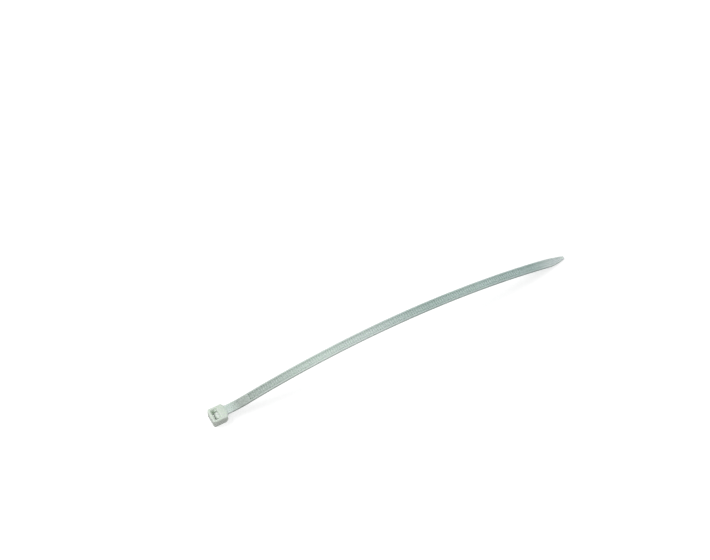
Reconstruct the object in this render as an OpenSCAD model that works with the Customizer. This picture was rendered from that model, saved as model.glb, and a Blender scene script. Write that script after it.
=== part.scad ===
// Self-locking cable tie, moulded in one piece, lying on a flat surface with its teeth up.
// The origin is the centre of the slot in the head, on the surface that the tie lies on.
// X runs along the strap to the tip, Z points up and out of the mouth of the slot.
// Heights on the strap are counted from its smooth underside, lengths from the front of the head.

/* [Strap] */
// Length of the tie laid flat, from the back of the head to the tip
tie_length = 200; // [150:1:300]
// Width of the strap
strap_w = 4.8; // [4.4:0.1:6]
// Thickness of the strap over its rails
strap_t = 1.25; // [1.1:0.05:1.5]
// Radius on the long edges of the strap
edge_r = 0.2; // [0.1:0.05:0.3]
// Width of the rail on each side of the teeth
rail_w = 0.65; // [0.5:0.05:0.9]
// Plain length between the head and the first tooth
neck_l = 14; // [12:1:40]
// Plain length between the last tooth and the tip
tail_l = 26; // [22:1:50]

/* [Teeth] */
// Distance from one tooth to the next
tooth_pitch = 1.2; // [1:0.05:1.4]
// Height of a tooth over the floor of its channel
tooth_h = 0.42; // [0.3:0.02:0.5]
// How far the tooth crests lie below the tops of the rails
crest_drop = 0.08; // [0.02:0.02:0.2]
// Length of the flat crest of a tooth
crest_l = 0.16; // [0.1:0.02:0.3]
// Length of the flat floor between two teeth
root_l = 0.12; // [0.06:0.02:0.24]
// Lean of the locking face of a tooth, along the strap
lock_lean = 0.06; // [0:0.02:0.12]

/* [Tail] */
// Radius of the long curve on each side of the tail
tail_side_r = 40; // [30:1:60]
// Radius of the rounded tip
tip_r = 0.95; // [0.8:0.05:1.2]
// Thickness of the rim at the tip
tip_t = 0.95; // [0.8:0.05:1.05]
// Width of the rim that runs round the tail
rim_w = 0.5; // [0.4:0.05:0.6]
// Number of grip ribs across the tail
grip_ribs = 6; // [3:1:8]
// Distance from one grip rib to the next
grip_pitch = 1.5; // [1.2:0.1:1.8]
// Height of a grip rib
grip_h = 0.16; // [0.1:0.02:0.24]

/* [Head] */
// Height of the head, from its exit face to its entry face
head_h = 4.8; // [4.6:0.1:6]
// How far the entry face stands above the rails of the strap
crown_h = 0.2; // [0.1:0.05:0.4]
// Thickness of the walls beside the slot
side_wall = 1.5; // [1.2:0.1:2]
// Thickness of the wall behind the slot
back_wall = 1.6; // [1.2:0.1:2.2]
// Thickness of the wall between the room of the pawl and the strap
front_wall = 2; // [1.6:0.1:2.6]
// Radius of the upright corners at the back of the head
back_corner_r = 1.5; // [0.8:0.1:1.8]
// Radius of the upright corners at the front of the head
front_corner_r = 0.7; // [0.4:0.1:1]
// Radius on the edges of the entry and exit faces
face_edge_r = 0.45; // [0.2:0.05:0.6]
// Length of the slope under the front of the head
chin_l = 1.5; // [1:0.1:2]
// Narrowing of each side of the head towards its exit face
draft = 0.12; // [0:0.02:0.2]

/* [Slot and pawl] */
// Play between the tail and the slot across the strap, on each side
slot_play = 0.2; // [0.1:0.05:0.4]
// Play between the tail and the slot through the strap
passage_play = 0.45; // [0.3:0.05:0.7]
// Radius of the upright corners of the slot
slot_r = 0.25; // [0.1:0.05:0.4]
// Depth of the funnel round the mouth of the slot
funnel_d = 0.7; // [0.4:0.1:1]
// Width of the funnel round the mouth of the slot
funnel_w = 0.45; // [0.3:0.05:0.7]
// Length of the room that the pawl bends back into
pawl_room = 2.3; // [2:0.1:3]
// Depth of the ledge that the pawl hangs from, under the entry face
ledge_d = 1.5; // [1.4:0.1:1.8]
// Distance from the passage to the edge of the ledge
ledge_back = 1; // [0.8:0.1:1.2]
// Number of teeth on the pawl
pawl_teeth = 2; // [1:1:2]
// Thickness of the pawl behind its teeth
pawl_t = 1.1; // [0.9:0.05:1.3]
// Thickness of the hinge of the pawl
hinge_t = 0.75; // [0.6:0.05:0.9]
// Height of the toe of the pawl over the exit face
toe_z = 0.6; // [0.4:0.05:0.8]
// Play between the pawl and the rails of the tail, on each side
pawl_play = 0.15; // [0.1:0.05:0.3]
// Gap between the pawl and the walls of its room, on each side
room_gap = 0.25; // [0.2:0.05:0.4]
// Clearance between the teeth of the pawl and the floor of the strap's channel
bite_gap = 0.1; // [0.05:0.01:0.15]

/* [Lie] */
// Radius of the bow along the strap
bow_r = 350; // [300:10:1000]
// Radius of the bend where the strap rises from the head
rise_r = 40; // [30:5:80]
// Radius of the bend where the tip settles on the surface
land_r = 40; // [30:5:80]

/* [Hidden] */
$fn = 96;
over = 1; // how far a cut runs past the faces that it opens
lap = 0.3; // how far joined solids run into each other
seam = 0.01; // the bow is this much smaller all round than the bends that close over its ends
nylon = [0.84, 0.88, 0.85];

// Strap
crest_z = strap_t - crest_drop;
floor_z = crest_z - tooth_h;
channel_w = strap_w - 2 * rail_w;
ramp_in = strap_t - floor_z; // length of the slope that starts the channel

// Slot and pawl
slot_w = strap_w + 2 * slot_play;
passage = strap_t + passage_play;
room_x = passage / 2 + pawl_room;
ledge_x = passage / 2 + ledge_back;
ledge_z = head_h - ledge_d;
hinge_z = ledge_z + 0.6 * hinge_t; // the pawl's slope meets the ledge here
pawl_w = channel_w - 2 * pawl_play;
room_w = pawl_w + 2 * room_gap;
bite_x = floor_z + bite_gap - passage / 2; // the tail's smooth side slides on the back wall
pawl_root_x = bite_x + tooth_h;
pawl_top_z = toe_z + pawl_teeth * tooth_pitch;

// Head
head_back = -passage / 2 - back_wall;
head_front = room_x + front_wall;
head_w = slot_w + 2 * side_wall;
shoulder_y = head_w / 2 - front_corner_r; // a hollow shoulder runs from here to the strap
shoulder_r = shoulder_y - strap_w / 2;
strap_z = head_h - crown_h - strap_t; // the strap's underside at the head
strap_l = tie_length - (head_front - head_back);

// Lie: a straight root, a bend up, the long bow and a bend that lays the tip flat.
// The strap leaves the head at the angle that brings its tip down to the surface.
deg = 180 / PI;
root_straight = shoulder_r + 1;
curved_l = strap_l - root_straight;
function land_angle(rise) = (curved_l * deg - (rise_r + bow_r) * rise) / (bow_r + land_r);
function tip_height(rise) = strap_z
    + (rise_r + bow_r) * (1 - cos(rise)) - (bow_r + land_r) * (1 - cos(land_angle(rise)));
function find_rise(low, high, steps) = let(mid = (low + high) / 2)
    steps == 0 ? mid
    : tip_height(mid) > 0 ? find_rise(low, mid, steps - 1)
    : find_rise(mid, high, steps - 1);
rise_a = find_rise(0, curved_l * deg / (rise_r + bow_r), 40);
land_a = land_angle(rise_a);

// Where each stretch starts, along the strap, and the centre that it turns about
rise_s = root_straight;
bow_s = rise_s + rise_r * rise_a / deg;
land_s = strap_l - land_r * land_a / deg;
rise_c = [head_front + root_straight, strap_z + rise_r];
bow_c = rise_c + (rise_r + bow_r) * [sin(rise_a), -cos(rise_a)];
land_c = bow_c + (bow_r + land_r) * [sin(land_a), cos(land_a)];
tip_x = land_c.x;
bow_spans = ceil((rise_a + land_a) / 0.9); // short spans keep the long bow round at an ordinary $fn

// The point at a length along the strap and a height over its underside, as [x, z]
function on_strap(s, h) =
    s < rise_s ? [head_front + s, strap_z + h]
    : s < bow_s ? let(a = (s - rise_s) / rise_r * deg)
        rise_c + (rise_r - h) * [sin(a), -cos(a)]
    : s < land_s ? let(a = rise_a - (s - bow_s) / bow_r * deg)
        bow_c + (bow_r + h) * [-sin(a), cos(a)]
    : let(a = (s - land_s) / land_r * deg - land_a)
        land_c + (land_r - h) * [sin(a), -cos(a)];

// Teeth, from the neck to the tail
tooth_count = floor((strap_l - neck_l - tail_l) / tooth_pitch);
teeth_end = neck_l + tooth_count * tooth_pitch;

// One tooth: its locking face looks back at the head, and its ramp falls towards the tip
function tooth(s) = [
    on_strap(s, floor_z),
    on_strap(s + lock_lean, crest_z),
    on_strap(s + lock_lean + crest_l, crest_z),
    on_strap(s + tooth_pitch - root_l, floor_z)
];

// One low rib with sloping sides, across the floor of the tail
function grip_rib(s) = [
    on_strap(s, floor_z),
    on_strap(s + grip_h, floor_z + grip_h),
    on_strap(s + 2 * grip_h, floor_z + grip_h),
    on_strap(s + 3 * grip_h, floor_z)
];
grip_s = teeth_end + 2;
grip_end = grip_s + grip_ribs * grip_pitch;

// The tail's plan: two long curves that run into a round tip.
// They start a little outside the strap, so that they cut its sides cleanly.
side_start = strap_w / 2 + 0.05;
nose_x = tip_x - tip_r;
side_x = nose_x - sqrt(pow(tail_side_r - tip_r, 2) - pow(tail_side_r - side_start, 2));
thin_s = strap_l - (tip_x - side_x); // from here the rim thins towards the tip
sky_z = bow_c.y + bow_r + strap_t + over; // over everything that the strap reaches

// A convex outline whose corners are [x, y, radius], in counter-clockwise order
module rounded_outline(corners) {
    n = len(corners);
    function at(i) = [corners[i % n].x, corners[i % n].y];
    function toward(i, j) = (at(j) - at(i)) / norm(at(j) - at(i));
    function half(i) = acos(toward(i, i + 1) * toward(i, i + n - 1)) / 2;
    function reach(i) = corners[i].z / tan(half(i));
    function bisector(i) = let(b = toward(i, i + 1) + toward(i, i + n - 1)) b / norm(b);
    polygon([
        for (i = [0:n - 1])
            if (corners[i].z > 0) each [
                at(i) + toward(i, i + n - 1) * reach(i),
                at(i) + toward(i, i + 1) * reach(i)
            ]
            else at(i)
    ]);
    for (i = [0:n - 1])
        if (corners[i].z > 0)
            translate(at(i) + bisector(i) * corners[i].z / sin(half(i)))
                circle(corners[i].z);
}

// An outline drawn in X and Z, made into a solid of width w across the tie
module across(w) {
    rotate([90, 0, 0])
        linear_extrude(w, center = true)
            children();
}

// An outline drawn in Y and Z, made into a solid from one X to another
module along(x_from, x_to) {
    translate([x_from, 0, 0])
        rotate([90, 0, 90])
            linear_extrude(x_to - x_from)
                children();
}

// An outline drawn in X and Y, made into a solid from one height to another
module upright(z_from, z_to) {
    translate([0, 0, z_from])
        linear_extrude(z_to - z_from)
            children();
}

// The strap's section, drawn in by inset: X is the height over its underside, Y runs across it
module strap_section(inset = 0) {
    half_w = strap_w / 2 - inset;
    top = strap_t - inset;
    r = edge_r - inset;
    rounded_outline([
        [inset, -half_w, r], [top, -half_w, r], [top, half_w, r], [inset, half_w, r]
    ]);
}

// A stretch of strap bent about a centre above it or below it, between two directions
module bent(centre, r, from, to, above, inset = 0) {
    translate([centre.x, 0, centre.y])
        rotate([90, 0, 0])
            rotate_extrude(angle = to - from, start = from)
                translate([r, 0])
                    mirror([above ? 1 : 0, 0])
                        strap_section(inset);
}

// The strap's whole length, before its channel and tail are cut
module strap_blank() {
    span_a = (rise_a + land_a) / bow_spans;
    lap_a = lap / bow_r * deg;
    translate([head_front - lap, 0, strap_z])
        rotate([0, 90, 0])
            linear_extrude(root_straight + lap)
                mirror([1, 0])
                    strap_section();
    bent(rise_c, rise_r, 270, 270 + rise_a + lap / rise_r * deg, true);
    for (i = [0:bow_spans - 1]) {
        from = 90 - land_a + i * span_a;
        bent(bow_c, bow_r, from, from + span_a + (i < bow_spans - 1 ? lap_a : 0), false, seam);
    }
    bent(land_c, land_r, 270 - land_a - lap / land_r * deg, 270 + lap / land_r * deg, true);
}

// The plan that the tail is cut to, or a plan drawn in from it by inset
module tail_plan(inset) {
    r = tail_side_r - inset;
    wide = 2 * head_w;
    translate([head_front - 2 * over, -wide / 2])
        square([side_x - head_front + 2 * over, wide]);
    intersection() {
        translate([side_x, side_start - tail_side_r])
            circle(r, $fn = 256);
        translate([side_x, tail_side_r - side_start])
            circle(r, $fn = 256);
        translate([side_x - over, -wide / 2])
            square([over + (nose_x - side_x) * r / (tail_side_r - tip_r), wide]);
    }
    translate([nose_x, 0])
        circle(tip_r - inset);
}

// The channel between the rails: everything over the teeth, the tail's floor and its ribs
module channel() {
    from = neck_l - ramp_in;
    steps = ceil((strap_l - from) / 4);
    intersection() {
        across(channel_w)
            polygon([
                on_strap(from, strap_t),
                for (i = [0:tooth_count - 1]) each tooth(neck_l + i * tooth_pitch),
                for (i = [0:grip_ribs - 1]) each grip_rib(grip_s + i * grip_pitch),
                for (i = [0:16]) on_strap(grip_end + (strap_l - grip_end) * i / 16, floor_z),
                for (i = [steps:-1:0])
                    on_strap(from + (strap_l - from) * i / steps, strap_t + over)
            ]);
        upright(-over, sky_z)
            tail_plan(rim_w);
    }
}

// What thins the rim of the tail, from its full height to its height at the tip
module rim_thinning() {
    steps = 6;
    function at(i, h) = on_strap(thin_s + (strap_l - thin_s + lap) * i / steps, h);
    across(2 * strap_w)
        polygon([
            for (i = [0:steps]) at(i, strap_t - (strap_t - tip_t) * i / steps),
            for (i = [steps:-1:0]) at(i, strap_t + over)
        ]);
}

module strap() {
    difference() {
        intersection() {
            strap_blank();
            upright(-over, sky_z)
                tail_plan(0);
        }
        channel();
        rim_thinning();
    }
}

// The head's plan, with its hollow shoulders
module head_plan() {
    half_w = head_w / 2;
    rounded_outline([
        [head_back, -half_w, back_corner_r], [head_front, -half_w, front_corner_r],
        [head_front, half_w, front_corner_r], [head_back, half_w, back_corner_r]
    ]);
    difference() {
        translate([0, -shoulder_y])
            square([head_front + shoulder_r, 2 * shoulder_y]);
        for (side = [-1, 1])
            translate([head_front + shoulder_r, side * shoulder_y])
                circle(shoulder_r);
    }
}

// The head seen from the side: a flat exit face, a chin that slopes up to the strap
module head_side() {
    rounded_outline([
        [head_back, 0, face_edge_r],
        [head_front - chin_l, 0, face_edge_r],
        [head_front + shoulder_r, strap_z, 0],
        [head_front + shoulder_r, head_h - crown_h, 0],
        [head_front, head_h, face_edge_r],
        [head_back, head_h, face_edge_r]
    ]);
}

// The head seen along the strap, narrower at its exit face
module head_end() {
    half_w = head_w / 2;
    rounded_outline([
        [-half_w + draft, 0, face_edge_r], [half_w - draft, 0, face_edge_r],
        [half_w, head_h, face_edge_r], [-half_w, head_h, face_edge_r]
    ]);
}

module head_block() {
    intersection() {
        upright(-over, head_h + over)
            head_plan();
        across(2 * head_w)
            head_side();
        along(head_back - over, head_front + shoulder_r + over)
            head_end();
    }
}

// The way through for the tail
module passage_cut() {
    half_x = passage / 2;
    half_y = slot_w / 2;
    upright(-over, head_h + over)
        rounded_outline([
            [-half_x, -half_y, slot_r], [half_x, -half_y, slot_r],
            [half_x, half_y, slot_r], [-half_x, half_y, slot_r]
        ]);
}

// The room behind the pawl, open at the exit face, and the mouth over the ledge
module pawl_room_cut() {
    across(room_w)
        polygon([
            [0, -over], [room_x, -over], [room_x, ledge_z], [ledge_x, ledge_z],
            [ledge_x, head_h + over], [0, head_h + over]
        ]);
}

// The funnel that leads the tail into the slot
module funnel_cut() {
    low = head_h - funnel_d;
    slope = funnel_w / funnel_d;
    wide = funnel_w + over * slope;
    intersection() {
        across(2 * head_w)
            polygon([
                [-passage / 2, low], [ledge_x, low],
                [ledge_x + wide, head_h + over], [-passage / 2 - wide, head_h + over]
            ]);
        along(head_back, head_front)
            polygon([
                [-slot_w / 2, low], [slot_w / 2, low],
                [slot_w / 2 + wide, head_h + over], [-slot_w / 2 - wide, head_h + over]
            ]);
    }
}

// One tooth of the pawl: its locking face looks down, away from the mouth
function pawl_tooth(z) = [[pawl_root_x, z], [bite_x, z], [bite_x, z + crest_l]];

// The pawl: a tongue that hangs from the ledge, with its teeth towards the tail
module pawl() {
    back_x = pawl_root_x + pawl_t;
    across(pawl_w)
        polygon([
            [back_x, toe_z + pawl_t / 3],
            [back_x, pawl_top_z],
            [ledge_x + hinge_t, ledge_z],
            [ledge_x + hinge_t, hinge_z],
            [ledge_x, hinge_z],
            [pawl_root_x, pawl_top_z],
            for (i = [pawl_teeth - 1:-1:0]) let(t = pawl_tooth(toe_z + i * tooth_pitch))
                each [t[2], t[1], t[0]],
            [back_x - pawl_t / 3, toe_z]
        ]);
}

module head() {
    difference() {
        head_block();
        passage_cut();
        pawl_room_cut();
        funnel_cut();
    }
    pawl();
}

module cable_tie() {
    color(nylon) {
        head();
        strap();
    }
}

cable_tie();
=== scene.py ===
import math

import bmesh
import bpy
import numpy as np
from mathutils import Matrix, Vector


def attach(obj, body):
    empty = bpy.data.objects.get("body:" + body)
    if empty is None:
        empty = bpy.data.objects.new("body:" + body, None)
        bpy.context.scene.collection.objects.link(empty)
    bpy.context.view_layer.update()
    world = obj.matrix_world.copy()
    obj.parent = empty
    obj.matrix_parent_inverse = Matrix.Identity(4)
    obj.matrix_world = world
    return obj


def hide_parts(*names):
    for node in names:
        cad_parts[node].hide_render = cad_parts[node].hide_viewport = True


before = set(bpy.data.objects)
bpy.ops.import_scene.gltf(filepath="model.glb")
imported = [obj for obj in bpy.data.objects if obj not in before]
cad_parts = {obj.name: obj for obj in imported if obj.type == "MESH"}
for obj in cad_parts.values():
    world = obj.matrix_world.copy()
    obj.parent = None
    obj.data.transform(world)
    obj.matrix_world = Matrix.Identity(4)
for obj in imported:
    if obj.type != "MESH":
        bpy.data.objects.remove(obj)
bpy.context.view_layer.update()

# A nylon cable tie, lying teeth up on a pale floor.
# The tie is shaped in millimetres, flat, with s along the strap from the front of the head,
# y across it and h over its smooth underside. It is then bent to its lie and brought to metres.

MM = 0.001

# Strap
TIE_LENGTH = 200.0
STRAP_W = 4.8
STRAP_T = 1.25
EDGE_R = 0.2
RAIL_W = 0.65
NECK_L = 14.0
NECK_STEP = 0.8  # between two loops of the plain neck
SLOPE_LEAD = 0.2  # from the slope's start back to the loop before it
SLOPE_TOE = 0.05  # the slope's last stretch, along and down
SLOPE_ROUNDS = (0.12, 0.06)
TAIL_L = 26.0
LIP_R = 0.07  # the rails' inner edges
PARTING = 0.012  # how far the mould's parting line stands out of the sides
EDGE_STEPS = 4  # points round each edge of the section

# Teeth
TOOTH_PITCH = 1.2
TOOTH_H = 0.42
CREST_DROP = 0.08
CREST_L = 0.16
ROOT_L = 0.12
LOCK_LEAN = 0.06
TOOTH_ROUNDS = (0.05, 0.05, 0.09, 0.12)  # at the foot and edge of the lock side, then of the slope

# Tail
GRIP_LEAD = 2.0  # from the last tooth to the first rib
TAIL_SIDE_R = 40.0
TAIL_OUTSET = 0.05  # the sides' arcs start this far out of the strap, so that they leave it at a slant
TIP_R = 0.95
TIP_T = 0.95
RIM_W = 0.5
GRIP_RIBS = 6
GRIP_PITCH = 1.5
GRIP_H = 0.16
GRIP_ROUNDS = (0.08, 0.06, 0.06, 0.08)
SIDE_LOOPS = 36
NOSE_LOOPS = 13
PLAIN_LOOPS = 4  # in a plain stretch of the strap

# Head
HEAD_H = 4.8
CROWN_H = 0.2
SIDE_WALL = 1.5
BACK_WALL = 1.6
FRONT_WALL = 2.0
BACK_CORNER_R = 1.5
FRONT_CORNER_R = 0.7
FACE_EDGE_R = 0.45
CHIN_L = 1.5
DRAFT = 0.12

# Slot and pawl
SLOT_PLAY = 0.2
PASSAGE_PLAY = 0.45
SLOT_R = 0.25
FUNNEL_D = 0.7
FUNNEL_W = 0.45
PAWL_ROOM = 2.3
LEDGE_D = 1.5
LEDGE_BACK = 1.0
PAWL_TEETH = 2
PAWL_T = 1.1
HINGE_T = 0.75
TOE_Z = 0.6
PAWL_PLAY = 0.15
ROOM_GAP = 0.25
BITE_GAP = 0.1
PAST = 1.0  # how far a cutter reaches past the faces that it goes through

# Lie, in millimetres
BOW_R = 350.0
RISE_R = 40.0
LAND_R = 40.0
ROOT_LEAD = 1.0  # straight strap past the shoulders
LIE_STEP = 0.2
HALVINGS = 50  # of the search for the rise at which the tip comes to rest on the floor

# What follows from them
CREST = STRAP_T - CREST_DROP
FLOOR = CREST - TOOTH_H
HALF_W = STRAP_W / 2
CHANNEL_HALF = HALF_W - RAIL_W
SLOT_W = STRAP_W + 2 * SLOT_PLAY
PASSAGE = STRAP_T + PASSAGE_PLAY
ROOM_X = PASSAGE / 2 + PAWL_ROOM
LEDGE_X = PASSAGE / 2 + LEDGE_BACK
LEDGE_Z = HEAD_H - LEDGE_D
HINGE_Z = LEDGE_Z + 0.6 * HINGE_T
PAWL_W = 2 * CHANNEL_HALF - 2 * PAWL_PLAY
ROOM_W = PAWL_W + 2 * ROOM_GAP
BITE_X = FLOOR + BITE_GAP - PASSAGE / 2
PAWL_ROOT_X = BITE_X + TOOTH_H
PAWL_TOP_Z = TOE_Z + PAWL_TEETH * TOOTH_PITCH
HEAD_BACK = -PASSAGE / 2 - BACK_WALL
HEAD_FRONT = ROOM_X + FRONT_WALL
HEAD_HALF = SLOT_W / 2 + SIDE_WALL
SHOULDER_Y = HEAD_HALF - FRONT_CORNER_R
SHOULDER_R = SHOULDER_Y - HALF_W
STRAP_Z = HEAD_H - CROWN_H - STRAP_T
STRAP_L = TIE_LENGTH - (HEAD_FRONT - HEAD_BACK)
ROOT_STRAIGHT = SHOULDER_R + ROOT_LEAD
HALF_ROOT = ROOT_L / 2
TEETH = int((STRAP_L - NECK_L - TAIL_L) / TOOTH_PITCH)
TEETH_END = NECK_L + TEETH * TOOTH_PITCH
GRIP_S = TEETH_END + GRIP_LEAD
GRIP_END = GRIP_S + GRIP_RIBS * GRIP_PITCH

# The tail's sides are arcs about a point far over on the other side of the strap
TAIL_START_HALF = HALF_W + TAIL_OUTSET
NOSE_S = STRAP_L - TIP_R
SIDE_REACH = math.sqrt((TAIL_SIDE_R - TIP_R) ** 2 - (TAIL_SIDE_R - TAIL_START_HALF) ** 2)
SIDE_S = NOSE_S - SIDE_REACH
TURN_AT_NOSE = math.asin(SIDE_REACH / (TAIL_SIDE_R - TIP_R))

# How the meshes are made and joined
JOIN_S = 1.6  # where the head's mesh ends and the strap's begins
JOIN_GAP = 0.02  # bridged between the two
STUB_S = -0.8  # where the stub of strap that is fused with the head starts, inside the head
STUB_END_S = JOIN_S + 0.6  # and where it ends, to be cut at the join
WELD = 0.0004
CLOSE = 1e-4  # points of one solid this near are one point
VOXEL = 0.055
SMOOTHING, SMOOTH_PASSES = 0.5, 6
KEPT_FACES = 0.22  # the share that is left of the fused head's faces
PLAN_STEPS = 12
CORNER_STEPS = 10

# How the head is marked for its colour
HEAD_THICKNESS = 4.0
FADE_BACK = 0.4  # from the head's front back to where its colour begins to turn into the strap's
FADE_L = 1.6
NEAR_WALL = 0.1

# Colours, as linear red, green and blue
# Painted light: the nylon is painted lighter where it is thicker, from the thin channel floor over the
# rails to the head, for the light it scatters back.
THIN_COLOUR = (0.69, 0.8, 0.755, 1)
RAIL_COLOUR = (0.71, 0.82, 0.775, 1)
HEAD_COLOUR = (0.76, 0.85, 0.765, 1)
# Painted shade on the side walls, multiplied into their colour.
WALL_SHADE = (0.78, 0.75, 0.77, 1)
SLOT_LIGHT_GAIN = 0.35  # painted light: how much lighter the slot's inside is painted, down to the exit face
CLOUD_GAIN = 0.03  # how much the clouds change the lightness
STREAK_GAIN = 0.02
PAINTED_SHADE_ALONG = (  # painted shade along the strap, darkest at the neck, darker and cooler over the tail half, lightest at the tip: share of the tie's length, and the shade there
    (0.03, (0.79, 0.79, 0.78, 1)),
    (0.07, (0.48, 0.47, 0.46, 1)),
    (0.12, (0.6, 0.59, 0.59, 1)),
    (0.28, (0.77, 0.77, 0.76, 1)),
    (0.4, (0.74, 0.73, 0.74, 1)),
    (0.58, (0.58, 0.61, 0.62, 1)),
    (0.7, (0.62, 0.65, 0.66, 1)),
    (0.88, (0.55, 0.59, 0.61, 1)),
    (0.94, (0.82, 0.82, 0.84, 1)),
    (1.0, (1, 1, 1, 1)),
)

# Skin of the nylon
ROUGHNESS = 0.48
ROUGHNESS_CHANGE = 0.05
RELIEF = 0.000012  # height of the ripples, in metres
GRAIN_SHARE = 0.12  # height of the grain, in ripples
PIN_DEPTH = 3.0  # depth of an ejector pin's dent, in ripples
PIN_ROUNDING = 0.2
PIN_STEEPNESS = 6.0

# Floor
PAPER = (0.55, 0.55, 0.55, 1)
PAPER_LIFT = 0.58  # what brings the lit paper up to white for the camera
FLOOR_HALF = 4.0


def soften(points, radius, steps=2):
    """A polyline with each inner corner rounded in so many steps; radius is one, or one per corner."""
    radii = radius if isinstance(radius, (list, tuple)) else [radius] * (len(points) - 2)
    out = [points[0]]
    for before, at, after, r in zip(points, points[1:], points[2:], radii):
        a, b, c = Vector(before), Vector(at), Vector(after)
        back, on = (a - b).normalized(), (c - b).normalized()
        half = back.angle(on) / 2
        reach = r / math.tan(half)
        if r <= 0 or reach < 1e-5:
            out.append(tuple(at))
            continue
        centre = b + (back + on).normalized() * (r / math.sin(half))
        first, last = b + back * reach - centre, b + on * reach - centre
        for i in range(steps + 1):
            spoke = first.lerp(last, i / steps).normalized() * r
            out.append(tuple(centre + spoke))
    out.append(points[-1])
    return out


def half_section(top, floor, rail):
    """The +Y half of the strap's section, from the underside over the rail to the channel's floor.
    Each point is (distance in from the side, height, thickness of the nylon there, 1 on the side wall)."""
    solid = max(floor, FLOOR)
    points = [(rail, 0.0, (solid + top) / 2, 0.0)]
    quarter = np.linspace(0, math.pi / 2, EDGE_STEPS)
    for a in quarter:
        points.append((EDGE_R - EDGE_R * math.sin(a), EDGE_R - EDGE_R * math.cos(a), top, math.sin(a)))
    middle = top / 2
    for out, h in ((0, -2 * PARTING), (PARTING, 0), (0, 2 * PARTING)):
        points.append((-out, middle + h, top, 1.0))
    for a in quarter:
        h = top - EDGE_R + EDGE_R * math.sin(a)
        points.append((EDGE_R - EDGE_R * math.cos(a), h, top, math.cos(a)))
    lip = min(LIP_R, (top - floor) / 2)
    for a in quarter:
        points.append((rail - lip + lip * math.sin(a), top - lip + lip * math.cos(a), top, 0.0))
    points.append((rail, floor, solid, 0.0))
    return points


def ring(side, outward, middle_s, top=STRAP_T, floor=FLOOR, rail=RAIL_W):
    """One closed loop of points round the strap, as rows of s, y, h, thickness and 1 on a side wall.
    side is where its +Y side is, outward the way that side faces, middle_s the centre line's s."""
    half = []
    for inward, h, thick, wall in half_section(top, floor, rail):
        s = side[0] - outward[0] * inward
        y = max(side[1] - outward[1] * inward, 0.0)
        half.append((s, y, h, thick, wall))
    under = (middle_s, 0.0, 0.0, floor, 0.0)
    over = (middle_s, 0.0, floor, floor, 0.0)
    other = [(s, -y, h, thick, wall) for s, y, h, thick, wall in reversed(half)]
    return [under, *half, over, *other]


def plain_ring(s, floor=FLOOR):
    """A loop where the strap has its full width."""
    return ring((s, HALF_W), (0, 1), s, floor=floor)


def skin(name, lengths, close_start=False, close_end=False):
    """A mesh object from several lengths of strap, each a list of loops."""
    mesh = bpy.data.meshes.new(name)
    points, faces, thick, walls = [], [], [], []
    for loops in lengths:
        n = len(loops[0])
        base = len(points)
        for loop in loops:
            points += [row[:3] for row in loop]
            thick += [row[3] for row in loop]
            walls += [row[4] for row in loop]
        for i in range(len(loops) - 1):
            for j in range(n):
                k = (j + 1) % n
                a, b = base + i * n, base + (i + 1) * n
                faces.append((a + j, a + k, b + k, b + j))
        if close_start:
            faces.append(tuple(base + j for j in reversed(range(n))))
        if close_end:
            last = base + (len(loops) - 1) * n
            faces.append(tuple(last + j for j in range(n)))
    mesh.from_pydata(points, [], faces)
    mesh.attributes.new("thickness", "FLOAT", "POINT").data.foreach_set("value", thick)
    mesh.attributes.new("side wall", "FLOAT", "POINT").data.foreach_set("value", walls)
    thing = bpy.data.objects.new(name, mesh)
    bpy.context.scene.collection.objects.link(thing)
    return thing


def tooth_cell():
    """One pitch of the toothed strap, from the middle of one root to the middle of the next."""
    profile = soften([
        (-HALF_ROOT, FLOOR), (0, FLOOR), (LOCK_LEAN, CREST), (LOCK_LEAN + CREST_L, CREST),
        (TOOTH_PITCH - ROOT_L, FLOOR), (TOOTH_PITCH - HALF_ROOT, FLOOR),
    ], TOOTH_ROUNDS)
    return skin("tooth cell", [[plain_ring(s, floor=h) for s, h in profile]])


def grip_cell():
    """One pitch of the tail's grip, with its low rib in the middle."""
    start = -GRIP_H
    profile = soften([
        (start, FLOOR), (0, FLOOR), (GRIP_H, FLOOR + GRIP_H), (2 * GRIP_H, FLOOR + GRIP_H),
        (3 * GRIP_H, FLOOR), (start + GRIP_PITCH, FLOOR),
    ], GRIP_ROUNDS)
    return skin("grip cell", [[plain_ring(s, floor=h) for s, h in profile]])


def neck_loops():
    """From the head to the first tooth: solid, then a slope down into the channel."""
    end = NECK_L - HALF_ROOT
    slope_s = end - (STRAP_T - FLOOR)
    lead_s = slope_s - SLOPE_LEAD
    solid = [(s, STRAP_T) for s in np.arange(JOIN_S, lead_s, NECK_STEP)]
    profile = solid + soften([
        (lead_s, STRAP_T), (slope_s, STRAP_T), (end - SLOPE_TOE, FLOOR + SLOPE_TOE), (end, FLOOR),
    ], SLOPE_ROUNDS, 3)
    return [plain_ring(s, floor=h) for s, h in profile]


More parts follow.
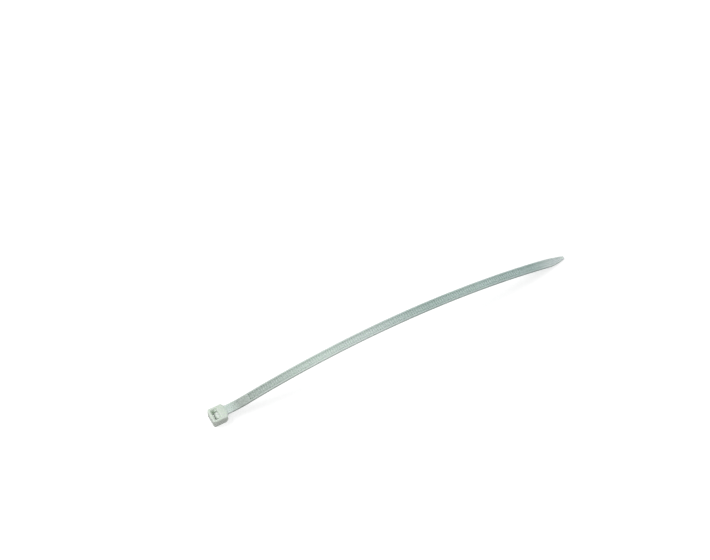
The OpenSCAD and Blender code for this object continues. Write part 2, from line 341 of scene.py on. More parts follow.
def tail_loops():
    """From the grip to the tip: plain, then two long curves that run into the round nose."""
    loops = [plain_ring(s) for s in np.linspace(GRIP_END - GRIP_H, SIDE_S, PLAIN_LOOPS)[:-1]]

    def rim_top(s):
        return STRAP_T - (STRAP_T - TIP_T) * min(max((s - SIDE_S) / (STRAP_L - SIDE_S), 0), 1)

    centre_y = TAIL_START_HALF - TAIL_SIDE_R
    for a in np.linspace(0, TURN_AT_NOSE, SIDE_LOOPS):
        outward = (math.sin(a), math.cos(a))
        side = (SIDE_S + TAIL_SIDE_R * outward[0], centre_y + TAIL_SIDE_R * outward[1])
        if side[1] > HALF_W:
            side, outward = (side[0], HALF_W), (0, 1)
        channel_y = min(side[1] - RIM_W * outward[1], CHANNEL_HALF)
        rail = (side[1] - channel_y) / outward[1]
        middle = SIDE_S + (TAIL_SIDE_R - TIP_R) * math.sin(a)
        loops.append(ring(side, outward, middle, rim_top(side[0]), FLOOR, rail))
    for a in np.linspace(TURN_AT_NOSE, math.pi / 2, NOSE_LOOPS)[1:]:
        outward = (math.sin(a), math.cos(a))
        side = (NOSE_S + TIP_R * outward[0], TIP_R * outward[1])
        loops.append(ring(side, outward, NOSE_S, rim_top(side[0]), FLOOR, RIM_W))
    return loops


def gap_loops():
    """The plain floor between the last tooth and the first grip rib."""
    return [plain_ring(s) for s in np.linspace(TEETH_END - HALF_ROOT, GRIP_S - GRIP_H, PLAIN_LOOPS)]


# The lie


def landing(rise):
    """The angle that the strap's end turns back by, for a rise at the head."""
    curved = STRAP_L - ROOT_STRAIGHT
    return (curved - (RISE_R + BOW_R) * rise) / (BOW_R + LAND_R)


def tip_height(rise):
    """How high the strap's end comes to lie, for a rise at the head."""
    climb = (RISE_R + BOW_R) * (1 - math.cos(rise))
    return STRAP_Z + climb - (BOW_R + LAND_R) * (1 - math.cos(landing(rise)))


def lie_curve():
    """The path of the strap's underside, from inside the head to the tip: a straight root,
    a short bend up, the long bow and a bend that lays the tip flat."""
    low, high = 0.0, (STRAP_L - ROOT_STRAIGHT) / (RISE_R + BOW_R)
    for _ in range(HALVINGS):
        rise = (low + high) / 2
        low, high = (low, rise) if tip_height(rise) > 0 else (rise, high)
    land = landing(rise)
    bow_s = ROOT_STRAIGHT + RISE_R * rise
    land_s = STRAP_L - LAND_R * land
    rise_c = np.array([HEAD_FRONT + ROOT_STRAIGHT, STRAP_Z + RISE_R])
    bow_c = rise_c + (RISE_R + BOW_R) * np.array([math.sin(rise), -math.cos(rise)])
    land_c = bow_c + (BOW_R + LAND_R) * np.array([math.sin(land), math.cos(land)])

    def place(s):
        """x and z of the path at a length s."""
        if s < ROOT_STRAIGHT:
            return np.array([HEAD_FRONT + s, STRAP_Z])
        if s < bow_s:
            a = (s - ROOT_STRAIGHT) / RISE_R
            return rise_c + RISE_R * np.array([math.sin(a), -math.cos(a)])
        if s < land_s:
            a = rise - (s - bow_s) / BOW_R
            return bow_c + BOW_R * np.array([-math.sin(a), math.cos(a)])
        a = (s - land_s) / LAND_R - land
        return land_c + LAND_R * np.array([math.sin(a), -math.cos(a)])

    count = int(STRAP_L / LIE_STEP)
    curve = bpy.data.curves.new("lie", "CURVE")
    curve.dimensions = "3D"
    spline = curve.splines.new("POLY")
    spline.points.add(count)
    for i in range(count + 1):
        x, z = place(STRAP_L * i / count)
        spline.points[i].co = (x, 0, z, 1)
    thing = bpy.data.objects.new("lie", curve)
    bpy.context.scene.collection.objects.link(thing)
    return thing


def tree_input(tree, name, kind, value=None):
    """A named input of a node group; what comes back is what a modifier calls it by."""
    socket = tree.interface.new_socket(name, in_out="INPUT", socket_type=kind)
    if value is not None:
        socket.default_value = value
    return socket.identifier


def row_of_cells():
    """Node group: a row of like cells along the strap."""
    tree = bpy.data.node_groups.new("Row along the strap", "GeometryNodeTree")
    tree_input(tree, "Cell", "NodeSocketGeometry")
    tree_input(tree, "Count", "NodeSocketInt", 10)
    tree_input(tree, "Pitch", "NodeSocketFloat", 1.0)
    tree_input(tree, "First", "NodeSocketFloat", 0.0)
    tree.interface.new_socket("Row", in_out="OUTPUT", socket_type="NodeSocketGeometry")
    add, link = tree.nodes.new, tree.links.new
    given, out = add("NodeGroupInput"), add("NodeGroupOutput")
    step, start = add("ShaderNodeCombineXYZ"), add("ShaderNodeCombineXYZ")
    line, put = add("GeometryNodeMeshLine"), add("GeometryNodeInstanceOnPoints")
    real = add("GeometryNodeRealizeInstances")
    line.mode = "OFFSET"
    link(given.outputs["Pitch"], step.inputs["X"])
    link(given.outputs["First"], start.inputs["X"])
    link(given.outputs["Count"], line.inputs["Count"])
    link(start.outputs[0], line.inputs["Start Location"])
    link(step.outputs[0], line.inputs["Offset"])
    link(line.outputs[0], put.inputs["Points"])
    link(given.outputs["Cell"], put.inputs["Instance"])
    link(put.outputs[0], real.inputs[0])
    link(real.outputs[0], out.inputs["Row"])
    return tree


def bend(tree, geometry, lie):
    """Socket: a geometry bent to the lie. s runs along the lie, h stands off it and y stays."""
    add, link = tree.nodes.new, tree.links.new
    here, parts = add("GeometryNodeInputPosition"), add("ShaderNodeSeparateXYZ")
    path = add("GeometryNodeSampleCurve")
    path.mode = "LENGTH"
    path.use_all_curves = True
    link(here.outputs[0], parts.inputs[0])
    link(lie, path.inputs["Curves"])
    link(parts.outputs["X"], path.inputs["Length"])
    upward, lift = add("ShaderNodeVectorMath"), add("ShaderNodeVectorMath")
    upward.operation, lift.operation = "CROSS_PRODUCT", "SCALE"
    upward.inputs[0].default_value = (0, -1, 0)
    link(path.outputs["Tangent"], upward.inputs[1])
    link(upward.outputs[0], lift.inputs[0])
    link(parts.outputs["Z"], lift.inputs["Scale"])
    raised, bent = add("ShaderNodeVectorMath"), add("ShaderNodeVectorMath")
    sideways = add("ShaderNodeCombineXYZ")
    link(path.outputs["Position"], raised.inputs[0])
    link(lift.outputs[0], raised.inputs[1])
    link(parts.outputs["Y"], sideways.inputs["Y"])
    link(raised.outputs[0], bent.inputs[0])
    link(sideways.outputs[0], bent.inputs[1])
    placed = add("GeometryNodeSetPosition")
    link(geometry, placed.inputs["Geometry"])
    link(bent.outputs[0], placed.inputs["Position"])
    return placed.outputs[0]


def strap_tree(row, settings):
    """Node group: rows of teeth and grip ribs and the plain lengths, joined and bent to the lie.
    It comes with what a modifier calls each of its settings by."""
    tree = bpy.data.node_groups.new("Toothed strap", "GeometryNodeTree")
    tree_input(tree, "Plain lengths", "NodeSocketGeometry")
    ids = {name: tree_input(tree, name, kind) for name, kind, _ in settings}
    tree.interface.new_socket("Strap", in_out="OUTPUT", socket_type="NodeSocketGeometry")
    add, link = tree.nodes.new, tree.links.new
    given, out, joined = add("NodeGroupInput"), add("NodeGroupOutput"), add("GeometryNodeJoinGeometry")
    link(given.outputs["Plain lengths"], joined.inputs[0])
    for cell, count, pitch, first in (
        ("Tooth cell", "Teeth", "Tooth pitch", "First tooth"),
        ("Grip cell", "Grip ribs", "Grip pitch", "First grip rib"),
    ):
        shape, cells = add("GeometryNodeObjectInfo"), add("GeometryNodeGroup")
        cells.node_tree = row
        link(given.outputs[cell], shape.inputs["Object"])
        link(shape.outputs["Geometry"], cells.inputs["Cell"])
        link(given.outputs[count], cells.inputs["Count"])
        link(given.outputs[pitch], cells.inputs["Pitch"])
        link(given.outputs[first], cells.inputs["First"])
        link(cells.outputs["Row"], joined.inputs[0])
    weld, lie = add("GeometryNodeMergeByDistance"), add("GeometryNodeObjectInfo")
    weld.inputs["Distance"].default_value = WELD
    link(joined.outputs[0], weld.inputs["Geometry"])
    link(given.outputs["Lie"], lie.inputs["Object"])
    smooth, real = add("GeometryNodeSetShadeSmooth"), add("GeometryNodeRealizeInstances")
    finish = add("GeometryNodeSetMaterial")
    link(bend(tree, weld.outputs[0], lie.outputs["Geometry"]), smooth.inputs["Geometry"])
    link(smooth.outputs[0], real.inputs[0])
    link(real.outputs[0], finish.inputs["Geometry"])
    link(given.outputs["Nylon"], finish.inputs["Material"])
    link(finish.outputs[0], out.inputs["Strap"])
    return tree, ids


def make_strap(nylon):
    """The strap's mesh in millimetres, bent to its lie, from where it leaves the head's mesh."""
    strap = skin("plain lengths", [neck_loops(), gap_loops(), tail_loops()])
    tooth, grip, lie = tooth_cell(), grip_cell(), lie_curve()
    settings = (
        ("Tooth cell", "NodeSocketObject", tooth),
        ("Teeth", "NodeSocketInt", TEETH),
        ("Tooth pitch", "NodeSocketFloat", TOOTH_PITCH),
        ("First tooth", "NodeSocketFloat", NECK_L),
        ("Grip cell", "NodeSocketObject", grip),
        ("Grip ribs", "NodeSocketInt", GRIP_RIBS),
        ("Grip pitch", "NodeSocketFloat", GRIP_PITCH),
        ("First grip rib", "NodeSocketFloat", GRIP_S),
        ("Lie", "NodeSocketObject", lie),
        ("Nylon", "NodeSocketMaterial", nylon),
    )
    shaper = strap.modifiers.new("Toothed strap", "NODES")
    shaper.node_group, ids = strap_tree(row_of_cells(), settings)
    for name, _, value in settings:
        shaper[ids[name]] = value
    return evaluated(strap, (tooth, grip, lie))


def mesh_now(thing):
    """A plain mesh of an object as its modifiers make it."""
    return bpy.data.meshes.new_from_object(thing.evaluated_get(bpy.context.evaluated_depsgraph_get()))


def evaluated(thing, helpers=()):
    """The plain mesh that an object's modifiers make; the object and its helpers are removed."""
    mesh = mesh_now(thing)
    for o in (thing, *helpers):
        bpy.data.objects.remove(o)
    return mesh


# The head


def outline(corners, steps=CORNER_STEPS):
    """A closed outline whose corners are (x, y, radius), each rounded in so many steps."""
    n = len(corners)
    out = []
    for i, (x, y, r) in enumerate(corners):
        before, after = corners[i - 1][:2], corners[(i + 1) % n][:2]
        if r <= 0:
            out.append((x, y))
        else:
            out += soften([before, (x, y), after], r, steps)[1:-1]
    return out


def prism(name, shape, low, high, place):
    """A solid between two levels; place puts a point of the outline and a level into x, y and z."""
    n = len(shape)
    points = [place(u, v, w) for w in (low, high) for u, v in shape]
    faces = [tuple(range(n)), tuple(range(n, 2 * n))]
    faces += [(i, (i + 1) % n, n + (i + 1) % n, n + i) for i in range(n)]
    mesh = bpy.data.meshes.new(name)
    mesh.from_pydata(points, [], faces)
    work = bmesh.new()
    work.from_mesh(mesh)
    bmesh.ops.recalc_face_normals(work, faces=work.faces)
    work.to_mesh(mesh)
    work.free()
    thing = bpy.data.objects.new(name, mesh)
    bpy.context.scene.collection.objects.link(thing)
    return thing


def upright(name, shape, low, high):
    """A prism that stands on its outline in x and y."""
    return prism(name, shape, low, high, lambda x, y, z: (x, y, z))


def across(name, shape, width):
    """A prism across the strap, centred, from an outline in x and z."""
    return prism(name, shape, -width / 2, width / 2, lambda x, z, y: (x, y, z))


def along(name, shape, low, high):
    """A prism along the strap, from an outline in y and z."""
    return prism(name, shape, low, high, lambda y, z, x: (x, y, z))


def combine(thing, tool, operation):
    """thing with tool taken out of it, or kept to it; the tool is removed."""
    step = thing.modifiers.new("cut", "BOOLEAN")
    step.operation, step.object, step.solver = operation, tool, "EXACT"
    mesh = mesh_now(thing)
    thing.modifiers.clear()
    thing.data = mesh
    bpy.data.objects.remove(tool)


def head_plan():
    """The head from above, with the hollow shoulders that run into the strap."""
    back = outline([
        (HEAD_BACK, HEAD_HALF, BACK_CORNER_R), (HEAD_BACK, -HEAD_HALF, BACK_CORNER_R),
        (HEAD_FRONT, -HEAD_HALF, FRONT_CORNER_R), (HEAD_FRONT, HEAD_HALF, FRONT_CORNER_R),
    ], PLAN_STEPS)
    half = len(back) * 3 // 4
    end_x = HEAD_FRONT + SHOULDER_R
    hollow = [
        (end_x - SHOULDER_R * math.cos(a), SHOULDER_Y - SHOULDER_R * math.sin(a))
        for a in np.linspace(0, math.pi / 2, PLAN_STEPS + 1)[1:]
    ]
    lower = [(x, -y) for x, y in hollow]
    return back[:half] + lower + hollow[::-1] + back[half:]


def head_block():
    """The head's outside: its plan, its side with the chin, and its drafted end, met together."""
    end_x = HEAD_FRONT + SHOULDER_R
    side = outline([
        (HEAD_BACK, 0, FACE_EDGE_R), (HEAD_FRONT - CHIN_L, 0, FACE_EDGE_R), (end_x, STRAP_Z, 0),
        (end_x, HEAD_H - CROWN_H, 0), (HEAD_FRONT, HEAD_H, FACE_EDGE_R), (HEAD_BACK, HEAD_H, FACE_EDGE_R),
    ])
    end = outline([
        (-HEAD_HALF + DRAFT, 0, FACE_EDGE_R), (HEAD_HALF - DRAFT, 0, FACE_EDGE_R),
        (HEAD_HALF, HEAD_H, FACE_EDGE_R), (-HEAD_HALF, HEAD_H, FACE_EDGE_R),
    ])
    block = upright("head", head_plan(), -PAST, HEAD_H + PAST)
    combine(block, across("side", side, 4 * HEAD_HALF), "INTERSECT")
    combine(block, along("end", end, HEAD_BACK - PAST, end_x + PAST), "INTERSECT")
    return block


def slot_cuts():
    """The tail's way through, the pawl's room with the mouth over it, and the funnel."""
    half_x, half_y = PASSAGE / 2, SLOT_W / 2
    way = outline([
        (-half_x, -half_y, SLOT_R), (half_x, -half_y, SLOT_R),
        (half_x, half_y, SLOT_R), (-half_x, half_y, SLOT_R),
    ], 5)
    low, high = HEAD_H - FUNNEL_D, HEAD_H + PAST
    room = [
        (0, -PAST), (ROOM_X, -PAST), (ROOM_X, LEDGE_Z), (LEDGE_X, LEDGE_Z), (LEDGE_X, high), (0, high),
    ]
    wide = FUNNEL_W * (high - low) / FUNNEL_D
    funnel = across("funnel", [
        (-half_x, low), (LEDGE_X, low), (LEDGE_X + wide, high), (-half_x - wide, high),
    ], 4 * HEAD_HALF)
    flare = along("flare", [
        (-half_y, low), (half_y, low), (half_y + wide, high), (-half_y - wide, high),
    ], HEAD_BACK - PAST, HEAD_FRONT + PAST)
    combine(funnel, flare, "INTERSECT")
    return [upright("way", way, -PAST, high), across("room", room, ROOM_W), funnel]


def pawl():
    """The toothed tongue that hangs from the ledge."""
    back_x = PAWL_ROOT_X + PAWL_T
    shape = [
        (back_x, TOE_Z + PAWL_T / 3), (back_x, PAWL_TOP_Z), (LEDGE_X + HINGE_T, LEDGE_Z),
        (LEDGE_X + HINGE_T, HINGE_Z), (LEDGE_X, HINGE_Z), (PAWL_ROOT_X, PAWL_TOP_Z),
    ]
    for i in reversed(range(PAWL_TEETH)):
        z = TOE_Z + i * TOOTH_PITCH
        shape += [(BITE_X, z + CREST_L), (BITE_X, z), (PAWL_ROOT_X, z)]
    shape.append((back_x - PAWL_T / 3, TOE_Z))
    return across("pawl", shape, PAWL_W)


def merge_into(block, others):
    """Put other solids into a block's mesh, each with its faces outward; the others are removed."""
    work = bmesh.new()
    for part in (block, *others):
        piece = bmesh.new()
        piece.from_mesh(part.data)
        bmesh.ops.remove_doubles(piece, verts=piece.verts, dist=CLOSE)
        bmesh.ops.recalc_face_normals(piece, faces=piece.faces)
        loose = bpy.data.meshes.new("part")
        piece.to_mesh(loose)
        piece.free()
        work.from_mesh(loose)
        bpy.data.meshes.remove(loose)
    for part in others:
        bpy.data.objects.remove(part)
    work.to_mesh(block.data)
    work.free()


def moulded(block):
    """The mesh of a block whose solids overlap, fused, softened as a moulding and thinned out."""
    fuse = block.modifiers.new("fuse", "REMESH")
    fuse.mode, fuse.voxel_size, fuse.adaptivity = "VOXEL", VOXEL, 0
    soft = block.modifiers.new("soften", "SMOOTH")
    soft.factor, soft.iterations = SMOOTHING, SMOOTH_PASSES
    thin = block.modifiers.new("thin", "DECIMATE")
    thin.ratio = KEPT_FACES
    return evaluated(block)


def make_head():
    """The head's mesh in millimetres, with a stub of strap, open where the rest of the strap joins."""
    block = head_block()
    for tool in slot_cuts():
        combine(block, tool, "DIFFERENCE")
    stub_loops = [plain_ring(s, floor=STRAP_T) for s in (STUB_S, JOIN_S, STUB_END_S)]
    stub = skin("stub", [stub_loops], close_start=True, close_end=True)
    for v in stub.data.vertices:
        v.co = (HEAD_FRONT + v.co.x, v.co.y, STRAP_Z + v.co.z)
    merge_into(block, (stub, pawl()))
    mesh = moulded(block)
    work = bmesh.new()
    work.from_mesh(mesh)
    cut_x = HEAD_FRONT + JOIN_S - JOIN_GAP
    bmesh.ops.bisect_plane(
        work, geom=work.verts[:] + work.edges[:] + work.faces[:], dist=1e-5,
        plane_co=(cut_x, 0, 0), plane_no=(1, 0, 0), clear_outer=True,
    )
    work.to_mesh(mesh)
    work.free()
    return mesh


def mark_head(vert, thickness, wall, inside):
    """Give one point of the head what its colour goes by: the nylon's thickness there, for its painted
    light, 1 on a side wall, for its painted shade, and up to 1 down the slot's inside, for its painted
    light."""
    x, y, z = vert.co
    far = min(max((x - HEAD_FRONT + FADE_BACK) / FADE_L, 0), 1)
    vert[thickness] = HEAD_THICKNESS + (STRAP_T - HEAD_THICKNESS) * far
    inward = min(HEAD_HALF - abs(y), x - HEAD_BACK, HEAD_FRONT - x)
    # Side walls are marked for their painted shade.
    vert[wall] = 1 - abs(vert.normal.z) if inward < DRAFT + FACE_EDGE_R else 0
    lengthwise = -PASSAGE / 2 - NEAR_WALL < x < ROOM_X + NEAR_WALL
    # The slot's inside is marked for its painted light.
    if lengthwise and abs(y) < SLOT_W / 2 + NEAR_WALL:
        vert[inside] = min(max(1 - z / (HEAD_H - FUNNEL_D), 0), 1)


def one_piece(head, strap, nylon):
    """Head and strap as one closed mesh, in metres."""
    work = bmesh.new()
    work.from_mesh(strap)
    work.from_mesh(head)
    inside = work.verts.layers.float.new("inside")
    thickness, wall = work.verts.layers.float.get("thickness"), work.verts.layers.float.get("side wall")
    rim = [e for e in work.edges if e.is_boundary]
    work.normal_update()
    for v in work.verts:
        if v.co.x < HEAD_FRONT + JOIN_S - JOIN_GAP / 2:
            mark_head(v, thickness, wall, inside)
    bmesh.ops.bridge_loops(work, edges=rim)
    bmesh.ops.recalc_face_normals(work, faces=work.faces)
    for f in work.faces:
        f.smooth = True
        f.material_index = 0
    bmesh.ops.scale(work, vec=(MM, MM, MM), verts=work.verts)
    mesh = bpy.data.meshes.new("nylon_tie")
    work.to_mesh(mesh)
    work.free()
    mesh.materials.clear()
    mesh.materials.append(nylon)
    tie = bpy.data.objects.new("nylon_tie", mesh)
    bpy.context.scene.collection.objects.link(tie)
    return tie


# Finishes


def maths(tree, operation, *values):
    """A Math node; each value is a number, or a socket to link."""
    node = tree.nodes.new("ShaderNodeMath")
    node.operation = operation
    for socket, value in zip(node.inputs, values):
        if isinstance(value, (int, float)):
            socket.default_value = value
        else:
            tree.links.new(value, socket)
    return node.outputs[0]


def unevenness():
    """Shader node group: what an even moulding is not. Clouds, streaks along the strap, slow ripples
    in the skin and a fine grain, each from about -1 to 1. The inputs are their sizes in metres."""
    tree = bpy.data.node_groups.new("unevenness", "ShaderNodeTree")
    for name, size in (
        ("Cloud size", 0.009), ("Streak length", 0.03), ("Streak width", 0.0007),
        ("Ripple size", 0.0013), ("Grain size", 0.00014),
    ):
        tree.interface.new_socket(name, in_out="INPUT", socket_type="NodeSocketFloat").default_value = size
    for name in ("Clouds", "Streaks", "Ripples", "Grain"):
        tree.interface.new_socket(name, in_out="OUTPUT", socket_type="NodeSocketFloat")
    add, link = tree.nodes.new, tree.links.new
    given, out, place = add("NodeGroupInput"), add("NodeGroupOutput"), add("ShaderNodeTexCoord")

    def blots(name, detail, long, wide):
        """Noise with blots as long along x, and as wide along y and z, as the named inputs say."""
        lengthwise = maths(tree, "DIVIDE", 1.0, given.outputs[long])
        crosswise = maths(tree, "DIVIDE", 1.0, given.outputs[wide])
        stretch, scaled = add("ShaderNodeCombineXYZ"), add("ShaderNodeVectorMath")
        noise, centred = add("ShaderNodeTexNoise"), add("ShaderNodeMapRange")
        scaled.operation, centred.clamp = "MULTIPLY", False
        for axis, rate in zip("XYZ", (lengthwise, crosswise, crosswise)):
            link(rate, stretch.inputs[axis])
        link(place.outputs["Object"], scaled.inputs[0])
        link(stretch.outputs[0], scaled.inputs[1])
        link(scaled.outputs[0], noise.inputs["Vector"])
        noise.inputs["Scale"].default_value = 1.0
        noise.inputs["Detail"].default_value = detail
        for socket, value in (("From Min", 0.3), ("From Max", 0.7), ("To Min", -1.0), ("To Max", 1.0)):
            centred.inputs[socket].default_value = value
        link(noise.outputs["Fac"], centred.inputs["Value"])
        link(centred.outputs[0], out.inputs[name])

    blots("Clouds", 3.0, "Cloud size", "Cloud size")
    blots("Streaks", 2.0, "Streak length", "Streak width")
    blots("Ripples", 1.0, "Ripple size", "Ripple size")
    blots("Grain", 2.0, "Grain size", "Grain size")
    return tree


def pin_marks():
    """Shader node group: the round dents that a mould's ejector pins leave in a row along the strap,
    in the smooth underside and in the top of the neck. The output is 0, or -1 inside a dent."""
    tree = bpy.data.node_groups.new("pin marks", "ShaderNodeTree")
    for name, size in (
        ("First pin", 0.0125), ("Pin spacing", 0.0235), ("Pin radius", 0.0009), ("Neck end", 0.017),
    ):
        tree.interface.new_socket(name, in_out="INPUT", socket_type="NodeSocketFloat").default_value = size
    tree.interface.new_socket("Dent", in_out="OUTPUT", socket_type="NodeSocketFloat")
    add, link = tree.nodes.new, tree.links.new
    given, out = add("NodeGroupInput"), add("NodeGroupOutput")
    place, axes = add("ShaderNodeTexCoord"), add("ShaderNodeSeparateXYZ")
    facing, rise = add("ShaderNodeNewGeometry"), add("ShaderNodeSeparateXYZ")
    link(place.outputs["Object"], axes.inputs[0])
    link(facing.outputs["Normal"], rise.inputs[0])
    half = maths(tree, "MULTIPLY", given.outputs["Pin spacing"], 0.5)
    onward = maths(tree, "SUBTRACT", axes.outputs["X"], given.outputs["First pin"])
    nearest = maths(tree, "PINGPONG", onward, half)
    onward_squared = maths(tree, "POWER", nearest, 2.0)
    sideways_squared = maths(tree, "POWER", axes.outputs["Y"], 2.0)
    distance = maths(tree, "SQRT", maths(tree, "ADD", onward_squared, sideways_squared))
    away = maths(tree, "DIVIDE", distance, given.outputs["Pin radius"])
    within = maths(tree, "SUBTRACT", 1.0, maths(tree, "SMOOTH_MIN", away, 1.0, PIN_ROUNDING))
    dent = maths(tree, "MINIMUM", maths(tree, "MULTIPLY", within, PIN_STEEPNESS), 1.0)
    below = maths(tree, "LESS_THAN", rise.outputs["Z"], -0.5)
    on_neck = maths(tree, "LESS_THAN", axes.outputs["X"], given.outputs["Neck end"])
    where = maths(tree, "MAXIMUM", below, on_neck)
    link(maths(tree, "MULTIPLY", maths(tree, "MULTIPLY", dent, where), -1.0), out.inputs["Dent"])
    return tree


def colour_lit_by_thickness(tree):
    """Socket: the nylon's colour by how thick it is, with painted light: lighter where it is thick, for
    the light it scatters back, greener and greyer where it is thin.
    """
    add, link = tree.nodes.new, tree.links.new
    thick, depth = add("ShaderNodeAttribute"), add("ShaderNodeMapRange")
    tone = add("ShaderNodeValToRGB")
    thick.attribute_name = "thickness"
    depth.inputs["From Min"].default_value = FLOOR
    depth.inputs["From Max"].default_value = HEAD_THICKNESS
    at_rail = (STRAP_T - FLOOR) / (HEAD_THICKNESS - FLOOR)
    stops = tone.color_ramp.elements
    stops[0].color, stops[1].color = THIN_COLOUR, HEAD_COLOUR
    stops.new(at_rail).color = RAIL_COLOUR
    link(thick.outputs["Fac"], depth.inputs["Value"])
    link(depth.outputs[0], tone.inputs["Fac"])
    return tone.outputs[0]


def painted_shade_along(tree, colour):
    """Socket: a colour with painted shade that changes slowly from the head to the tip."""
    add, link = tree.nodes.new, tree.links.new
    place, axes = add("ShaderNodeTexCoord"), add("ShaderNodeSeparateXYZ")
    # Painted shade along the strap, multiplied into the colour.
    run, shade_ramp, shaded = add("ShaderNodeMapRange"), add("ShaderNodeValToRGB"), add("ShaderNodeMix")
    run.inputs["From Max"].default_value = TIE_LENGTH * MM
    shade_ramp.color_ramp.interpolation = "EASE"
    stops = shade_ramp.color_ramp.elements
    stops[0].position, stops[0].color = PAINTED_SHADE_ALONG[0]
    stops[-1].position, stops[-1].color = PAINTED_SHADE_ALONG[-1]
    for share, stop_colour in PAINTED_SHADE_ALONG[1:-1]:
        stops.new(share).color = stop_colour
    shaded.data_type, shaded.blend_type = "RGBA", "MULTIPLY"
    shaded.inputs["Factor"].default_value = 1.0
    link(place.outputs["Object"], axes.inputs[0])
    link(axes.outputs["X"], run.inputs["Value"])
    link(run.outputs[0], shade_ramp.inputs["Fac"])
    link(colour, shaded.inputs["A"])
    link(shade_ramp.outputs[0], shaded.inputs["B"])
    return shaded.outputs["Result"]


def shaded_walls(tree, colour):
    """Socket: a colour with painted shade on the side walls, darker and greyer than the top."""
    add, link = tree.nodes.new, tree.links.new
    wall, greyer = add("ShaderNodeAttribute"), add("ShaderNodeMix")
    wall.attribute_name = "side wall"
    greyer.data_type, greyer.blend_type = "RGBA", "MULTIPLY"
    greyer.inputs["B"].default_value = WALL_SHADE
    link(wall.outputs["Fac"], greyer.inputs["Factor"])
    link(colour, greyer.inputs["A"])
    return greyer.outputs["Result"]


def clouded_and_slot_lit(tree, colour, uneven):
    """Socket: a colour with faint clouds and streaks, and painted light down the slot's inside, for the
    light that comes through its walls."""
    add, link = tree.nodes.new, tree.links.new
    inside, lit = add("ShaderNodeAttribute"), add("ShaderNodeVectorMath")
    inside.attribute_name = "inside"
    lit.operation = "SCALE"
    light_and_dark = maths(tree, "MULTIPLY_ADD", uneven.outputs["Clouds"], CLOUD_GAIN, 1.0)
    streaked = maths(tree, "MULTIPLY_ADD", uneven.outputs["Streaks"], STREAK_GAIN, light_and_dark)
    link(colour, lit.inputs[0])
    # Painted light down the slot's inside.
    link(maths(tree, "MULTIPLY_ADD", inside.outputs["Fac"], SLOT_LIGHT_GAIN, streaked), lit.inputs["Scale"])
    return lit.outputs[0]


def nylon_finish():
    """Natural nylon: milky, light passes some way through it, painted lighter where it is thick and
    greener and greyer where it is thin, with painted shade along the strap, cooler towards the tail,
    painted shade on the side walls, painted light down the slot, faint clouds and a satin skin."""
    m = bpy.data.materials.new("natural nylon")
    m.use_nodes = True
    tree = m.node_tree
    add, link = tree.nodes.new, tree.links.new
    nylon = tree.nodes["Principled BSDF"]
    nylon.inputs["IOR"].default_value = 1.53
    nylon.inputs["Subsurface Weight"].default_value = 0.6
    nylon.inputs["Subsurface Radius"].default_value = (0.9, 1.0, 0.85)
    nylon.inputs["Subsurface Scale"].default_value = 0.003
    uneven, pins = add("ShaderNodeGroup"), add("ShaderNodeGroup")
    uneven.node_tree, pins.node_tree = unevenness(), pin_marks()
    # Painted light by thickness, painted shade along the strap and painted shade on the side walls.
    colour = shaded_walls(tree, painted_shade_along(tree, colour_lit_by_thickness(tree)))
    # Faint clouds and streaks, and painted light down the slot's inside.
    link(clouded_and_slot_lit(tree, colour, uneven), nylon.inputs["Base Color"])

    # Satin skin
    roughness = maths(tree, "MULTIPLY_ADD", uneven.outputs["Clouds"], ROUGHNESS_CHANGE, ROUGHNESS)
    link(roughness, nylon.inputs["Roughness"])
    rippled = maths(tree, "MULTIPLY_ADD", uneven.outputs["Grain"], GRAIN_SHARE, uneven.outputs["Ripples"])
    relief = maths(tree, "MULTIPLY_ADD", pins.outputs["Dent"], PIN_DEPTH, rippled)
    bump = add("ShaderNodeBump")
    bump.inputs["Strength"].default_value = 1.0
    bump.inputs["Distance"].default_value = RELIEF
    link(relief, bump.inputs["Height"])
    link(bump.outputs[0], nylon.inputs["Normal"])
    return m


def floor_finish():
    """White paper that keeps the tie's shadow and shows as white."""
    m = bpy.data.materials.new("white paper")
    m.use_nodes = True
    tree = m.node_tree
    paper = tree.nodes["Principled BSDF"]
    paper.inputs["Base Color"].default_value = PAPER
    paper.inputs["Roughness"].default_value = 0.9
    paper.inputs["Specular IOR Level"].default_value = 0.0
    rays = tree.nodes.new("ShaderNodeLightPath")
    seen = maths(tree, "MAXIMUM", rays.outputs["Is Camera Ray"], rays.outputs["Is Glossy Ray"])
    paper.inputs["Emission Color"].default_value = (1, 1, 1, 1)
    tree.links.new(maths(tree, "MULTIPLY", seen, PAPER_LIFT), paper.inputs["Emission Strength"])
    return m


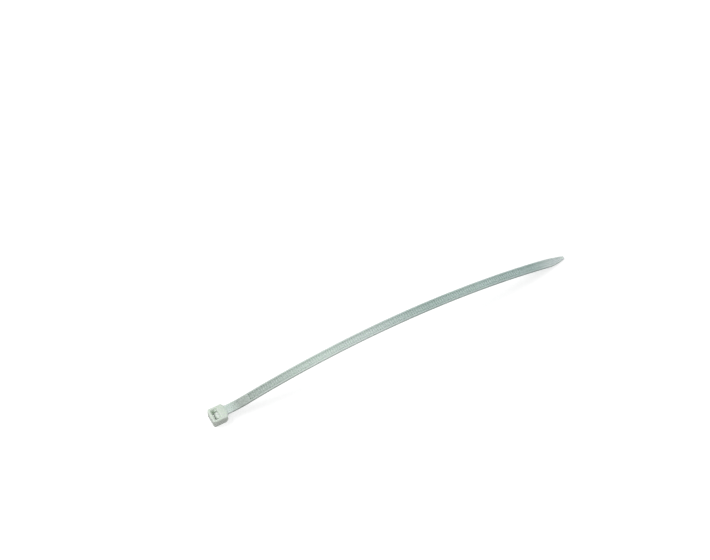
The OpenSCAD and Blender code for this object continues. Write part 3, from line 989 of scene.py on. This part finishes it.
def make_floor():
    """The paper that the tie lies on."""
    mesh = bpy.data.meshes.new("floor")
    r = FLOOR_HALF
    mesh.from_pydata([(-r, -r, 0), (r, -r, 0), (r, r, 0), (-r, r, 0)], [], [(0, 1, 2, 3)])
    floor = bpy.data.objects.new("floor", mesh)
    bpy.context.scene.collection.objects.link(floor)
    mesh.materials.append(floor_finish())


def make_lights():
    """An even white room and two softboxes, one behind the tie's head and a weaker one in front."""
    world = bpy.data.worlds.new("studio")
    bpy.context.scene.world = world
    world.use_nodes = True
    tree = world.node_tree
    add, link = tree.nodes.new, tree.links.new
    sky = tree.nodes["Background"]
    sky.inputs["Color"].default_value = (1, 1, 1, 1)
    rays, level = add("ShaderNodeLightPath"), add("ShaderNodeMapRange")
    level.inputs["To Min"].default_value = 0.5
    level.inputs["To Max"].default_value = 1.0
    link(rays.outputs["Is Camera Ray"], level.inputs["Value"])
    link(level.outputs[0], sky.inputs["Strength"])
    for name, place, target, size, watts in (
        ("softbox behind the head end", (-0.5, 0.55, 0.9), (0.09, 0, 0), 0.8, 7.8),
        ("softbox in front", (-0.3, -0.65, 0.9), (0.09, 0, 0), 0.8, 3.7),
    ):
        lamp = bpy.data.lights.new(name, "AREA")
        lamp.size, lamp.energy = size, watts
        thing = bpy.data.objects.new(name, lamp)
        thing.location = place
        thing.rotation_euler = (Vector(target) - Vector(place)).to_track_quat("-Z", "Y").to_euler()
        bpy.context.scene.collection.objects.link(thing)


def make_camera():
    """At the photograph's angle: 55 degrees down, the strap running to the right and away."""
    azimuth, elevation = math.radians(28.83), math.radians(55)
    distance, aim = 0.9, Vector((0.09694, 0.03882, 0))
    level = math.cos(elevation)
    onward = Vector((math.sin(azimuth) * level, math.cos(azimuth) * level, -math.sin(elevation)))
    data = bpy.data.cameras.new("camera")
    data.lens, data.sensor_width = 91.27, 36
    data.clip_start, data.clip_end = 0.05, 20
    camera = bpy.data.objects.new("camera", data)
    camera.location = aim - onward * distance
    camera.rotation_euler = onward.to_track_quat("-Z", "Y").to_euler()
    bpy.context.scene.collection.objects.link(camera)
    bpy.context.scene.camera = camera


make_camera()
make_lights()
make_floor()
nylon = nylon_finish()
tie = one_piece(make_head(), make_strap(nylon), nylon)
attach(tie, "root")
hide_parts("cable_tie")
bpy.context.scene.view_settings.view_transform = "Standard"
